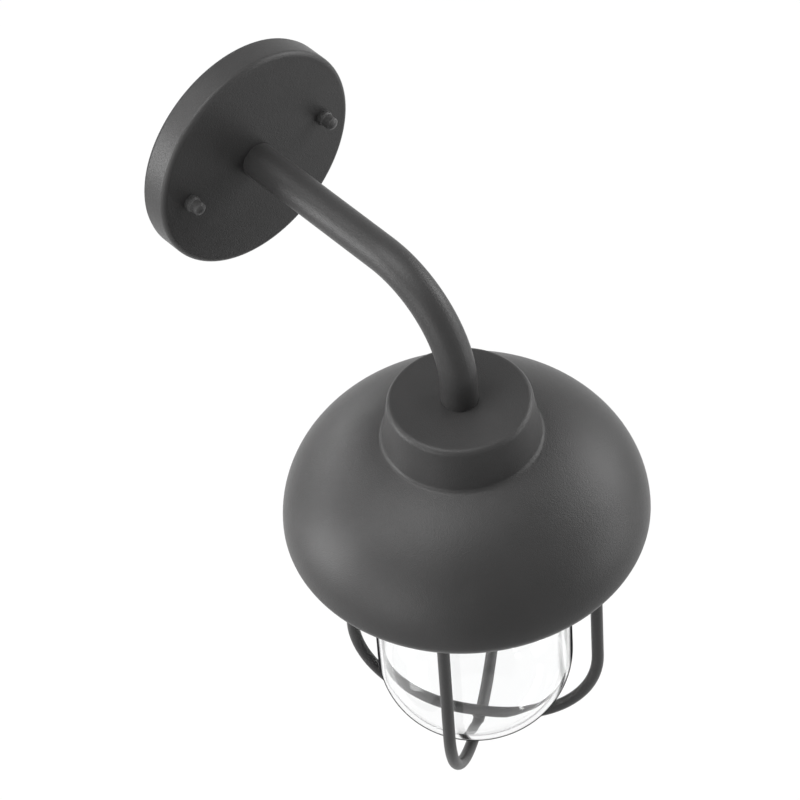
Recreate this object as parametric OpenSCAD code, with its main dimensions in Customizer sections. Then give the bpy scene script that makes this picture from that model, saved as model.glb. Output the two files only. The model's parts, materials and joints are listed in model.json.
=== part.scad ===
// Outdoor wall light: round wall plate, bent tube arm, spun dome shade,
// clear jar and wire guard. Millimetres, +Z up.
// The origin is the centre of the wall plate, in the plane of the wall.
// The light reaches out along -Y and hangs below its arm.

/* [Wall plate] */
// Diameter of the round wall plate
plate_d = 132; // [128:1:150]
// Distance from the wall to the face of the plate
plate_depth = 17; // [16.5:0.5:24]
// Thickness of the plate's pressed sheet
plate_wall = 1.5; // [1:0.1:2]
// Radius of the plate's rounded front edge
plate_edge_r = 3; // [2:0.1:5]
// Thickness of the foam gasket behind the plate
plate_gasket_t = 1.5; // [1:0.1:3]
// Width of the foam gasket
plate_gasket_w = 5; // [3:0.5:8]

/* [Mounting bracket] */
// Diameter of the round steel bracket
bracket_d = 110; // [106:1:116]
// Thickness of the bracket
bracket_t = 2; // [1.5:0.1:3]
// Diameter of the hole for the house wires
bracket_hole_d = 46; // [40:1:56]
// Distance between the centres of the two junction box slots
box_slot_spacing = 82; // [78:0.5:86]
// Length of each slot from end to end
box_slot_length = 17.5; // [12:0.5:20]
// Width of each slot
box_slot_w = 5.2; // [4.4:0.1:6]

/* [Studs and cap nuts] */
// Distance between the two studs
stud_spacing = 95; // [88:0.5:98]
// Diameter of each stud
stud_d = 4; // [3.5:0.1:5]
// Diameter of a cap nut at the plate
cap_nut_d = 9; // [8.5:0.1:12]
// Diameter of a cap nut's outer end
cap_nut_tip_d = 7.4; // [6.4:0.1:8]
// Length of a cap nut
cap_nut_length = 9.2; // [8.8:0.1:14]
// Length of stud held inside a cap nut
cap_nut_grip = 6; // [4.5:0.1:6.2]

/* [Arm] */
// Outer diameter of the arm tube
arm_d = 20.5; // [19:0.1:24]
// Wall thickness of the arm tube
arm_wall = 1.5; // [1:0.1:1.7]
// Distance from the wall to the axis of the shade
arm_reach = 177; // [150:1:260]
// Height of the plate's centre over the top of the shade
arm_drop = 70; // [68:1:120]
// Radius of the bend, on the tube's centre line
arm_bend_r = 57; // [40:1:58]

/* [Shade] */
// Largest diameter of the shade
shade_d = 204; // [190:1:240]
// Diameter of the neck's flat top
neck_top_d = 80; // [70:1:84]
// Diameter of the neck where it meets the dome
neck_base_d = 87; // [86:1:96]
// Radius of the neck's top edge
neck_edge_r = 2.5; // [1.8:0.1:5]
// Length of the hollow curve between neck and dome
neck_blend = 5; // [3:0.1:8]
// Depth of the dome's widest circle below the neck's top
dome_mid_depth = 88.6; // [84:0.1:100]
// Height of the dome's arch over its widest circle
dome_rise = 68; // [60:0.5:72]
// Depth of the rim below the neck's top
rim_depth = 96; // [93:0.5:110]
// Diameter of the rim
rim_d = 197; // [186:1:200]
// Thickness of the spun sheet
shade_wall = 1.5; // [1:0.1:2]

/* [Glass jar] */
// Room between the jar's side and the guard's wires
jar_gap = 12.1; // [10:0.1:18]
// Room between the jar's bottom and the centre line of the lower hoop
jar_floor_gap = 20.7; // [18.5:0.1:45]
// Radius of the level middle of the jar's bottom
jar_flat_r = 12.2; // [8:0.2:20]
// Width of the step from the jar's side in to its threaded neck
jar_shoulder_w = 14.25; // [12:0.25:16]
// Thickness of the glass
glass_t = 2.8; // [2.5:0.1:5]

/* [Guard] */
// Room between the shade and the guard's ring
ring_room = 12.14; // [9.2:0.02:14]
// Diameter of the guard's round wire
guard_wire_d = 7; // [5:0.1:8]
// Depth of the lower hoop's centre line below the neck's top
guard_depth = 275; // [268:0.5:300]
// Angle of the front hoop, seen from above
guard_angle = 36; // [0:1:45]
// Length of the straight run at the bottom of the upper hoop
guard_flat = 12.4; // [4:0.2:20]
// Width of the flat ring that joins the legs
guard_ring_w = 14; // [12:0.5:16]
// Thickness of the flat ring
guard_ring_t = 2.5; // [2:0.1:4]

/* [Fitter and lampholder] */
// Depth of the fitter's top below the neck's top
fitter_depth = 44; // [42:0.5:46]
// Thickness of the fitter's top
fitter_top_t = 3; // [2:0.1:4]
// Depth of the fitter's skirt, top included
fitter_skirt_h = 24; // [22:0.5:25]
// Thickness of the fitter's skirt
fitter_skirt_t = 4.5; // [3:0.1:5]
// Distance from the circle of the guard's legs out to the edge of the fitter's flange
flange_margin = 6.6; // [6.2:0.1:7.6]
// Thickness of the flange
fitter_flange_t = 4; // [3:0.1:5]
// Diameter of the porcelain lampholder
holder_d = 43; // [42:0.5:50]
// Length of the porcelain lampholder
holder_h = 45; // [44:0.5:60]
// Inner diameter of the lamp's screw shell
shell_bore_d = 26.6; // [26:0.1:27]
// Length of the screw shell
shell_h = 26; // [24:0.5:27]

/* [Hidden] */
$fn = 96;

// Overrun that carries a cut past a face
cut = 1;
// Radial room between a thread and its mate
thread_fit = 0.05;
// Radial room round a bolt or wire in a plain hole
hole_fit = 0.3;
// Number of flats on a nut
flats = 6;

// Sizes on the plate
plate_r = plate_d/2;
plate_inner_face = plate_depth - plate_wall;
stud_r = stud_d/2;
nut_washer_t = 0.8;
stud_length = plate_depth + nut_washer_t + cap_nut_grip;
stud_nut_across = 7;
stud_nut_h = 3.2;
cap_nut_base_h = 3.4;
cap_nut_cone_h = 1;
cap_nut_chamfer = 0.5;
cap_nut_dome_h = 1.6;
cap_nut_bore_h = cap_nut_grip + cut;

// Sizes of the hollow threaded nipples, their nuts and washers
nipple_r = 6.5;
nipple_bore_r = 4.5;
nipple_hold = 10;
nipple_stub = 0.5;
nut_across = 17;
nut_h = 4;
tooth_washer_r = 11;
tooth_washer_t = 0.8;
tooth_count = 12;
tooth_gap = 1.6;
seal_t = 0.8;
plug_h = 12;

// Places along the arm, as distances from the wall and depths from the neck's top
arm_r = arm_d/2;
arm_inner_r = arm_r - arm_wall;
arm_start = plate_depth + seal_t;
bend_start = arm_reach - arm_bend_r;
plate_nut_z = plate_inner_face - tooth_washer_t - nut_h;
plate_nipple_end = plate_nut_z - nipple_stub;

// Sizes inside the shade, from its wall inwards to the jar's neck
flange_drop = 16;
flange_top = fitter_depth + flange_drop;
bay_share = sqrt(1 - pow((dome_mid_depth - flange_top)/dome_rise, 2));
bay_r = bay_share*shade_d/2 - shade_wall;
guard_r = bay_r - ring_room - guard_ring_w/2;
wire_r = guard_wire_d/2;
jar_r = guard_r - wire_r - jar_gap;
jar_neck_r = jar_r - jar_shoulder_w;

// Sizes of the fitter
fitter_floor = fitter_depth + fitter_top_t;
neck_room = 1.5;
fitter_inner_r = jar_neck_r + neck_room;
fitter_outer_r = fitter_inner_r + fitter_skirt_t;
fitter_rim = fitter_depth + fitter_skirt_h;
flange_bottom = flange_top + fitter_flange_t;
flange_r = guard_r + flange_margin;
vent_r = 5;
vent_count = 8;
vent_circle_r = (fitter_outer_r + flange_r)/2;

// Sizes of the lampholder
holder_r = holder_d/2;
holder_end = fitter_floor + holder_h;
recess_r = 12.5;
recess_h = 7;
shell_bore_r = shell_bore_d/2;
shell_t = 0.5;
shell_top_r = 6;
shell_room = 0.3;
ceiling_h = 17;
shell_top = fitter_floor + ceiling_h;
contact_r = 3.5;
contact_t = 1;
contact_tip_r = 2;
contact_tip_h = 1.6;
contact_top = shell_top + shell_t - contact_t - contact_tip_h;
holder_screw_x = 17;
holder_screw_r = 1.5;
holder_screw_head_r = 3;
holder_screw_head_h = 2.2;
holder_screw_h = 14;

// Sizes of the leads
lead_r = 1.2;
lead_x = 2;
lead_z = 6;
lead_bend_r = 4;
lead_tail = 5;
lead_end_depth = fitter_floor + recess_h + lead_tail;
connector_r = 3.5;
connector_tip_r = 2.4;
connector_h = 17;
connector_y = 7.5;
connector_hold = 7;

// Sizes of the earthing parts
ground_x = -30;
ground_y = -24;
ground_screw_r = 2;
ground_across = 7;
ground_head_h = 3;
ground_lug_r = 4;
ground_lug_t = 0.8;
ground_lead_r = 1.1;
ground_run = 16;

// Sizes of the jar
jar_bottom_depth = guard_depth - jar_floor_gap;
jar_gasket_t = 3;
jar_top = fitter_floor + jar_gasket_t;
jar_gasket_w = 4.5;
shoulder_room = 2;
jar_neck_end = fitter_rim + shoulder_room;
jar_shoulder_h = 16;
jar_round_r = jar_r - jar_flat_r;
jar_round_depth = jar_bottom_depth - jar_round_r;
bead_r = 1.1;
bead_count = 2;
bead_pitch = 5;
bead_start = 4;

// Sizes of the guard
guard_ring_bottom = flange_bottom + guard_ring_t;
weld_gap = 0.02;
upper_hoop_depth = guard_depth - guard_wire_d - weld_gap;
lower_bend_r = guard_r;
upper_bend_r = guard_r - guard_flat/2;
guard_screw_r = 2;
guard_screw_angle = guard_angle + 225;
guard_washer_t = 0.8;
guard_washer_r = 4.5;
guard_head_r = 6;
guard_head_h = 8;
guard_head_collar_h = 1.5;
guard_screw_h = 9.5;
knurl_count = 20;
knurl_r = 0.6;

// Number of steps on the curved outlines
edge_steps = 6;
blend_steps = 8;
dome_steps = 40;
tuck_steps = 6;
shoulder_steps = 12;
round_steps = 28;

// Colours of the finishes
powder_coat = "#3c3c3e";
zinc = "#b4b6b8";
cast_metal = "#a9abad";
brass_tone = "#b8923f";

// A hollow round bar standing on Z
module ring(outer_r, inner_r, height) {
    difference() {
        cylinder(h = height, r = outer_r);
        translate([0, 0, -cut]) cylinder(h = height + 2*cut, r = inner_r);
    }
}

// A hexagon nut standing on Z
module hex_nut(across, height, bore_r) {
    difference() {
        cylinder(h = height, r = across/sqrt(3), $fn = flats);
        translate([0, 0, -cut]) cylinder(h = height + 2*cut, r = bore_r);
    }
}

// A toothed lock washer standing on Z, its gaps cut through the outer edge
module tooth_washer() {
    difference() {
        ring(tooth_washer_r, nipple_r + hole_fit, tooth_washer_t);
        for (i = [0 : tooth_count - 1])
            rotate([0, 0, i*360/tooth_count])
                translate([tooth_washer_r - tooth_gap, -tooth_gap/2, -cut])
                    cube([2*tooth_gap, tooth_gap, tooth_washer_t + 2*cut]);
    }
}

// Turns Z to point away from the wall, with Y up
module on_wall() {
    rotate([90, 0, 0]) children();
}

// Moves to the centre of the neck's top, on the shade's axis
module on_axis() {
    translate([0, -arm_reach, -arm_drop]) children();
}

// A quarter turn of round bar that follows the arm's bend, x to its side
module along_bend(x, outer_r, inner_r) {
    translate([0, -bend_start, -arm_bend_r])
        rotate([0, -90, 180])
            rotate_extrude(angle = 90)
                translate([arm_bend_r, x])
                    difference() {
                        circle(r = outer_r);
                        if (inner_r > 0) circle(r = inner_r);
                    }
}

// Round steel plate screwed to the junction box, with two slots and two threaded holes
module mounting_bracket() {
    slot_half = (box_slot_length - box_slot_w)/2;
    color(zinc) on_wall() difference() {
        ring(bracket_d/2, bracket_hole_d/2, bracket_t);
        for (side = [-1, 1]) {
            translate([side*stud_spacing/2, 0, -cut])
                cylinder(h = bracket_t + 2*cut, r = stud_r + thread_fit);
            translate([0, side*box_slot_spacing/2, -cut]) {
                translate([-box_slot_w/2, -slot_half, 0])
                    cube([box_slot_w, 2*slot_half, bracket_t + 2*cut]);
                for (end = [-1, 1])
                    translate([0, end*slot_half, 0])
                        cylinder(h = bracket_t + 2*cut, r = box_slot_w/2);
            }
        }
        translate([ground_x, ground_y, -cut])
            cylinder(h = bracket_t + 2*cut, r = ground_screw_r + thread_fit);
    }
}

// Two threaded studs that stand in the bracket and pass through the plate
module bracket_studs() {
    color(zinc) on_wall()
        for (side = [-1, 1])
            translate([side*stud_spacing/2, 0, 0])
                cylinder(h = stud_length, r = stud_r);
}

// Two thin nuts that lock the studs to the bracket
module stud_locknuts() {
    color(zinc) on_wall()
        for (side = [-1, 1])
            translate([side*stud_spacing/2, 0, bracket_t])
                hex_nut(stud_nut_across, stud_nut_h, stud_r + thread_fit);
}

// Earthing screw in the bracket, over the lug of the earthing lead
module ground_screw() {
    color("#3f7d45") on_wall() translate([ground_x, ground_y, 0]) {
        cylinder(h = bracket_t + ground_lug_t, r = ground_screw_r);
        translate([0, 0, bracket_t + ground_lug_t])
            cylinder(h = ground_head_h, r = ground_across/sqrt(3), $fn = flats);
    }
}

// Earthing lead with a lug at each end, from the bracket to the plate
module ground_lead() {
    run_z = bracket_t + ground_lead_r + ground_lug_t/2;
    color("#3f8f4a") on_wall() translate([ground_x, ground_y, 0]) {
        translate([0, 0, bracket_t])
            ring(ground_lug_r, ground_screw_r + thread_fit, ground_lug_t);
        translate([0, ground_lug_r, run_z])
            rotate([-90, 0, 0]) cylinder(h = ground_run, r = ground_lead_r);
        translate([-ground_lug_r/2, ground_lug_r/2, bracket_t])
            cube([ground_lug_r, ground_lug_r, ground_lug_t]);
        translate([0, ground_lug_r + ground_run, run_z + lead_bend_r])
            rotate([0, 90, 0])
                rotate_extrude(angle = 90) translate([lead_bend_r, 0]) circle(r = ground_lead_r);
        translate([0, ground_lug_r + ground_run + lead_bend_r, run_z + lead_bend_r])
            cylinder(h = plate_inner_face - ground_lug_t - run_z - lead_bend_r, r = ground_lead_r);
        translate([0, ground_lug_r + ground_run + lead_bend_r, plate_inner_face - ground_lug_t])
            cylinder(h = ground_lug_t, r = ground_lug_r);
    }
}

// Foam ring between the plate's rim and the wall
module plate_gasket() {
    gasket_r = plate_r - plate_wall/3;
    color("#1f1f20") on_wall() ring(gasket_r, gasket_r - plate_gasket_w, plate_gasket_t);
}

// Outline of one side of the pan, with a rounded corner of the radius given
function pan_side(side_r, face_z, corner_r) = concat(
    [[side_r, plate_gasket_t]],
    [for (i = [0 : edge_steps*2])
        let (a = 90*i/(edge_steps*2))
        [side_r - corner_r + corner_r*cos(a), face_z - corner_r + corner_r*sin(a)]],
    [[nipple_r + hole_fit, face_z]]);

// Reverses a list of points
function backwards(points) = [for (i = [len(points) - 1 : -1 : 0]) points[i]];

// Pressed pan with an open back, a hole for the arm's nipple and two for the studs
module wall_plate() {
    outer = pan_side(plate_r, plate_depth, plate_edge_r);
    inner = pan_side(plate_r - plate_wall, plate_inner_face, plate_edge_r - plate_wall/2);
    color(powder_coat) on_wall() difference() {
        rotate_extrude() polygon(concat(outer, backwards(inner)));
        for (side = [-1, 1])
            translate([side*stud_spacing/2, 0, plate_inner_face - cut])
                cylinder(h = plate_wall + 2*cut, r = stud_r + hole_fit);
    }
}

// Blind cap nut with a wide foot, a narrower dished end and a bore for the stud
module cap_nut(side) {
    foot_r = cap_nut_d/2;
    tip_r = cap_nut_tip_d/2;
    dome_r = (tip_r*tip_r + cap_nut_dome_h*cap_nut_dome_h)/(2*cap_nut_dome_h);
    dome_angle = asin(tip_r/dome_r);
    color(powder_coat) on_wall()
        translate([side*stud_spacing/2, 0, plate_depth + nut_washer_t])
            rotate_extrude() polygon(concat(
                [[stud_r + thread_fit, 0], [foot_r - cap_nut_chamfer, 0], [foot_r, cap_nut_chamfer],
                [foot_r, cap_nut_base_h - cap_nut_cone_h], [tip_r, cap_nut_base_h]],
                [for (i = [0 : edge_steps - 1])
                    let (a = dome_angle*(1 - i/edge_steps))
                    [dome_r*sin(a), cap_nut_length - dome_r*(1 - cos(a))]],
                [[0, cap_nut_length], [0, cap_nut_bore_h], [stud_r + thread_fit, cap_nut_bore_h]]));
}

// Thin sealing washer under a cap nut
module nut_washer(side) {
    color("#1c1c1d") on_wall()
        translate([side*stud_spacing/2, 0, plate_depth])
            ring(cap_nut_d/2 - thread_fit, stud_r + hole_fit, nut_washer_t);
}

// Bent tube: straight out from the plate, a quarter bend, and down to the neck
module arm_tube() {
    color(powder_coat) {
        on_wall() translate([0, 0, arm_start])
            ring(arm_r, arm_inner_r, bend_start - arm_start);
        along_bend(0, arm_r, arm_inner_r);
        on_axis() translate([0, 0, seal_t])
            ring(arm_r, arm_inner_r, arm_drop - arm_bend_r - seal_t);
    }
}

// Threaded plugs welded into both ends of the tube
module arm_plugs() {
    color(zinc) {
        on_wall() translate([0, 0, arm_start])
            ring(arm_inner_r - thread_fit, nipple_r + thread_fit, plug_h);
        on_axis() translate([0, 0, seal_t])
            ring(arm_inner_r - thread_fit, nipple_r + thread_fit, plug_h);
    }
}

// Thin rubber rings between the tube's ends and the plate and neck
module arm_seals() {
    color("#1c1c1d") {
        on_wall() translate([0, 0, plate_depth])
            ring(arm_r - hole_fit, nipple_r + hole_fit, seal_t);
        on_axis() ring(arm_r - hole_fit, nipple_r + hole_fit, seal_t);
    }
}

// Short hollow nipple that holds the arm to the plate
module plate_nipple() {
    color(zinc) on_wall() translate([0, 0, plate_nipple_end])
        ring(nipple_r, nipple_bore_r, arm_start + nipple_hold - plate_nipple_end);
}

// Long hollow nipple that carries the shade and the fitter under the arm
module shade_nipple() {
    end_depth = fitter_floor + nut_h + nipple_stub;
    color(zinc) on_axis() translate([0, 0, -end_depth])
        ring(nipple_r, nipple_bore_r, end_depth + seal_t + nipple_hold);
}

// Toothed washers under the two lock nuts of the arm
module tooth_washers() {
    color(zinc) {
        on_wall() translate([0, 0, plate_inner_face - tooth_washer_t]) tooth_washer();
        on_axis() translate([0, 0, -shade_wall - tooth_washer_t]) tooth_washer();
    }
}

// Lock nuts inside the plate and inside the neck
module arm_locknuts() {
    color(zinc) {
        on_wall() translate([0, 0, plate_nut_z])
            hex_nut(nut_across, nut_h, nipple_r + thread_fit);
        on_axis() translate([0, 0, -shade_wall - tooth_washer_t - nut_h])
            hex_nut(nut_across, nut_h, nipple_r + thread_fit);
    }
}

// Height of the dome's outer face at a radius
function dome_z(r) = -dome_mid_depth + dome_rise*sqrt(1 - pow(2*r/shade_d, 2));

// A point on a curve bent towards its middle point, t from 0 to 1
function bent(a, b, c, t) = (1 - t)*(1 - t)*a + 2*t*(1 - t)*b + t*t*c;

// Outer face of the shade from the nipple's hole to the rim
function shade_outline() =
    let (
        top_r = neck_top_d/2,
        mid_r = shade_d/2,
        corner = [neck_base_d/2, dome_z(neck_base_d/2)],
        wall_top = [top_r, -neck_edge_r],
        up = (wall_top - corner)/norm(wall_top - corner),
        blend_top = corner + up*neck_blend,
        blend_end_r = neck_base_d/2 + neck_blend,
        first_angle = asin(blend_end_r/mid_r))
    concat(
        [[nipple_r + hole_fit, 0]],
        [for (i = [0 : edge_steps])
            let (a = 90 - 90*i/edge_steps)
            [top_r - neck_edge_r + neck_edge_r*cos(a), -neck_edge_r + neck_edge_r*sin(a)]],
        [for (i = [0 : blend_steps - 1])
            bent(blend_top, corner, [blend_end_r, dome_z(blend_end_r)], i/blend_steps)],
        [for (i = [0 : dome_steps])
            let (a = first_angle + (90 - first_angle)*i/dome_steps)
            [mid_r*sin(a), -dome_mid_depth + dome_rise*cos(a)]],
        [for (i = [1 : tuck_steps])
            let (t = i/tuck_steps)
            [mid_r - (mid_r - rim_d/2)*t*t, -dome_mid_depth - (rim_depth - dome_mid_depth)*t]]);

// The outline moved inwards by the thickness of the sheet
function inset_outline(points, wall) = [for (i = [0 : len(points) - 1])
    let (
        before = points[max(i - 1, 0)],
        after = points[min(i + 1, len(points) - 1)],
        along = (after - before)/norm(after - before))
    points[i] + wall*[along[1], -along[0]]];

// One spun shell: flat-topped neck, dome and tucked-in rim
module shade() {
    outer = shade_outline();
    color(powder_coat) on_axis()
        rotate_extrude() polygon(concat(outer, backwards(inset_outline(outer, shade_wall))));
}

// Cast fitter: a cup with an inside thread for the jar and a flange for the guard
module fitter() {
    color(cast_metal) on_axis() difference() {
        rotate_extrude() polygon([
            [nipple_r + thread_fit, -fitter_depth],
            [fitter_outer_r, -fitter_depth],
            [fitter_outer_r, -flange_top],
            [flange_r, -flange_top],
            [flange_r, -flange_bottom],
            [fitter_outer_r, -flange_bottom],
            [fitter_outer_r, -fitter_rim],
            [fitter_inner_r, -fitter_rim],
            [fitter_inner_r, -fitter_floor],
            [nipple_r + thread_fit, -fitter_floor]]);
        for (side = [-1, 1]) {
            translate([side*holder_screw_x, 0, -fitter_floor - cut])
                cylinder(h = fitter_top_t + 2*cut, r = holder_screw_r + hole_fit);
            rotate([0, 0, guard_screw_angle])
                translate([side*guard_r, 0, -flange_bottom - cut])
                    cylinder(h = fitter_flange_t + 2*cut, r = guard_screw_r + thread_fit);
        }
        for (i = [0 : vent_count - 1])
            rotate([0, 0, guard_screw_angle + (i + 1/2)*360/vent_count])
                translate([vent_circle_r, 0, -flange_bottom - cut])
                    cylinder(h = fitter_flange_t + 2*cut, r = vent_r);
    }
}

// Nuts above and below the fitter's top
module fitter_locknuts() {
    color(zinc) on_axis() {
        translate([0, 0, -fitter_depth])
            hex_nut(nut_across, nut_h, nipple_r + thread_fit);
        translate([0, 0, -fitter_floor - nut_h])
            hex_nut(nut_across, nut_h, nipple_r + thread_fit);
    }
}

// Porcelain lampholder with a recess for the nut and a cavity for the screw shell
module lampholder_body() {
    cavity_r = shell_bore_r + shell_t + shell_room;
    edge = shell_t;
    color("#e9e6df") on_axis() difference() {
        rotate_extrude() polygon([
            [0, -fitter_floor - recess_h],
            [recess_r, -fitter_floor - recess_h],
            [recess_r, -fitter_floor],
            [holder_r - edge, -fitter_floor],
            [holder_r, -fitter_floor - edge],
            [holder_r, -holder_end + 2*edge],
            [holder_r - 2*edge, -holder_end],
            [cavity_r, -holder_end],
            [cavity_r, -shell_top],
            [0, -shell_top]]);
        translate([0, 0, -shell_top - cut])
            cylinder(h = shell_top - contact_top + cut, r = contact_r + hole_fit);
        for (side = [-1, 1]) {
            translate([side*holder_screw_x, 0, -fitter_floor - holder_screw_h])
                cylinder(h = holder_screw_h + cut, r = holder_screw_r + thread_fit);
            translate([side*lead_x, 0, -shell_top - cut])
                cylinder(h = ceiling_h + 2*cut, r = lead_r + hole_fit);
        }
    }
}

// Thin metal shell that the lamp screws into
module screw_shell() {
    outer_r = shell_bore_r + shell_t;
    color(brass_tone) on_axis() difference() {
        translate([0, 0, -shell_top - shell_h]) cylinder(h = shell_h, r = outer_r);
        translate([0, 0, -shell_top - shell_h - cut])
            cylinder(h = shell_h - shell_t + cut, r = shell_bore_r);
        translate([0, 0, -shell_top - shell_h]) cylinder(h = shell_h + cut, r = shell_top_r);
    }
}

// Contact at the bottom of the lampholder
module centre_contact() {
    color(brass_tone) on_axis() {
        translate([0, 0, -contact_top - contact_t]) cylinder(h = contact_t, r = contact_r);
        translate([0, 0, -contact_top - contact_t - contact_tip_h])
            cylinder(h = contact_tip_h, r1 = contact_tip_r, r2 = contact_r);
    }
}

// Two screws from the fitter's top into the porcelain
module lampholder_screws() {
    color(zinc) on_axis()
        for (side = [-1, 1])
            translate([side*holder_screw_x, 0, 0]) {
                translate([0, 0, -fitter_floor - holder_screw_h + cut])
                    cylinder(h = fitter_top_t + holder_screw_h - cut, r = holder_screw_r);
                translate([0, 0, -fitter_depth])
                    cylinder(h = holder_screw_head_h, r = holder_screw_head_r);
            }
}

// One lead from its connector through the nipple and the arm to the lampholder;
// side is -1 for the lead that turns up inside the plate, 1 for the one that turns down
module lead(side) {
    run = connector_y + connector_hold - lead_bend_r;
    on_wall() mirror([0, side > 0 ? 1 : 0, 0]) {
        translate([side*lead_x, lead_bend_r, lead_z])
            rotate([-90, 0, 0]) cylinder(h = run, r = lead_r);
        translate([side*lead_x, lead_bend_r, lead_z + lead_bend_r])
            rotate([0, 90, 180])
                rotate_extrude(angle = 90) translate([lead_bend_r, 0]) circle(r = lead_r);
    }
    on_wall() translate([side*lead_x, 0, lead_z + lead_bend_r])
        cylinder(h = bend_start - lead_z - lead_bend_r, r = lead_r);
    along_bend(side*lead_x, lead_r, 0);
    on_axis() translate([side*lead_x, 0, -lead_end_depth])
        cylinder(h = lead_end_depth + arm_drop - arm_bend_r, r = lead_r);
}

// Twist-on connectors for the house wires, one above and one below the nipple
module wire_connectors() {
    color("#c9822f") on_wall()
        for (side = [-1, 1])
            mirror([0, side > 0 ? 1 : 0, 0])
                translate([side*lead_x, connector_y, lead_z])
                    rotate([-90, 0, 0])
                        rotate_extrude() polygon([
                            [lead_r + thread_fit, 0],
                            [connector_r, 0],
                            [connector_r, connector_hold],
                            [connector_tip_r, connector_h],
                            [0, connector_h],
                            [0, connector_hold],
                            [lead_r + thread_fit, connector_hold]]);
}

// Soft ring between the fitter and the jar's lip
module jar_gasket() {
    color("#d8d8d4") on_axis() translate([0, 0, -jar_top])
        ring(jar_neck_r, jar_neck_r - jar_gasket_w, jar_gasket_t);
}

// One face of the jar, moved inwards by an inset, from the lip to the bottom
function jar_outline(inset) = concat(
    [[jar_neck_r - inset, -jar_top]],
    inset > 0 ? [] : [for (b = [0 : bead_count - 1], i = [0 : edge_steps])
        let (a = 90 - 180*i/edge_steps)
        [jar_neck_r + bead_r*cos(a), -jar_top - bead_start - b*bead_pitch + bead_r*sin(a)]],
    [[jar_neck_r - inset, -jar_neck_end]],
    [for (i = [1 : shoulder_steps])
        let (t = i/shoulder_steps)
        [jar_neck_r - inset + (jar_r - jar_neck_r)*(1 - cos(180*t))/2,
        -jar_neck_end - jar_shoulder_h*t]],
    [for (i = [0 : round_steps])
        let (a = 90*i/round_steps)
        [jar_flat_r + (jar_round_r - inset)*cos(a),
        -jar_round_depth - (jar_round_r - inset)*sin(a)]],
    [[0, -jar_bottom_depth + inset]]);

// Clear jar: threaded neck, rounded shoulder, straight wall and round bottom
module glass_jar() {
    color("#dfe8ea", 0.35) on_axis()
        rotate_extrude() polygon(concat(jar_outline(0), backwards(jar_outline(glass_t))));
}

// Flat ring that carries the four legs, with two holes for its screws
module guard_ring() {
    color(powder_coat) on_axis() translate([0, 0, -guard_ring_bottom]) difference() {
        ring(guard_r + guard_ring_w/2, guard_r - guard_ring_w/2, guard_ring_t);
        rotate([0, 0, guard_screw_angle])
            for (side = [-1, 1])
                translate([side*guard_r, 0, -cut])
                    cylinder(h = guard_ring_t + 2*cut, r = guard_screw_r + hole_fit);
    }
}

// U-shaped hoop of round wire: two legs welded under the ring and a half circle
module guard_hoop(depth, turn, bend_r) {
    bend_depth = depth - bend_r;
    run = guard_r - bend_r;
    color(powder_coat) on_axis() rotate([0, 0, turn]) {
        for (side = [-1, 1]) {
            translate([side*guard_r, 0, -bend_depth])
                cylinder(h = bend_depth - guard_ring_bottom, r = wire_r);
            translate([side*run, 0, -bend_depth]) rotate([-90, 0, 0])
                rotate([0, 0, side > 0 ? 0 : 90])
                    rotate_extrude(angle = 90) translate([bend_r, 0]) circle(r = wire_r);
        }
        if (run > 0)
            translate([-run, 0, -depth]) rotate([0, 90, 0])
                cylinder(h = 2*run, r = wire_r);
    }
}

// Knurled screw that holds the guard's ring up to the fitter's flange
module guard_screw(side) {
    head_top = guard_ring_bottom + guard_washer_t;
    color("#4a4a4c") on_axis() rotate([0, 0, guard_screw_angle])
        translate([side*guard_r, 0, -head_top]) {
            cylinder(h = guard_screw_h, r = guard_screw_r);
            translate([0, 0, -guard_head_collar_h])
                cylinder(h = guard_head_collar_h, r = guard_head_r - 2*knurl_r);
            translate([0, 0, -guard_head_h])
                linear_extrude(height = guard_head_h - guard_head_collar_h) difference() {
                    circle(r = guard_head_r);
                    for (i = [0 : knurl_count - 1])
                        rotate(i*360/knurl_count)
                            translate([guard_head_r, 0]) circle(r = knurl_r, $fn = 16);
                }
        }
}

// Washer between a guard screw's head and the ring
module guard_washer(side) {
    color(zinc) on_axis() rotate([0, 0, guard_screw_angle])
        translate([side*guard_r, 0, -guard_ring_bottom - guard_washer_t])
            ring(guard_washer_r, guard_screw_r + hole_fit, guard_washer_t);
}

mounting_bracket();
bracket_studs();
stud_locknuts();
ground_screw();
ground_lead();
plate_gasket();
wall_plate();
cap_nut(-1);  // cap_nut_left
cap_nut(1);  // cap_nut_right
nut_washer(-1);  // nut_washer_left
nut_washer(1);  // nut_washer_right
arm_tube();
arm_plugs();
arm_seals();
plate_nipple();
shade_nipple();
tooth_washers();
arm_locknuts();
shade();
fitter();
fitter_locknuts();
lampholder_body();
screw_shell();
centre_contact();
lampholder_screws();
color("#26262a") lead(-1);  // lead_live
color("#e6e4de") lead(1);  // lead_neutral
wire_connectors();
jar_gasket();
glass_jar();
guard_ring();
guard_hoop(guard_depth, guard_angle, lower_bend_r);  // guard_hoop_front
guard_hoop(upper_hoop_depth, guard_angle + 90, upper_bend_r);  // guard_hoop_side
guard_screw(1);  // guard_screw_front
guard_screw(-1);  // guard_screw_back
guard_washer(1);  // guard_washer_front
guard_washer(-1);  // guard_washer_back
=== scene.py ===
# %% [markdown]
# # An outdoor wall light, dressed in Blender
# This lesson takes the measured parts of a wall light and gives them the surfaces and
# the small forms that make the real one look real: a satin powder coat with a fine grain,
# clear pressed glass, glazed porcelain, turned nuts, threads and weld beads.
# The measured parts come in as a fixed frame. Nothing in it is moved or reshaped. A part
# that needs a finer form is hidden, and a new piece is modelled in its place.

# %% Load the measured parts
import json
import math
import bpy
from mathutils import Matrix, Vector


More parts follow.
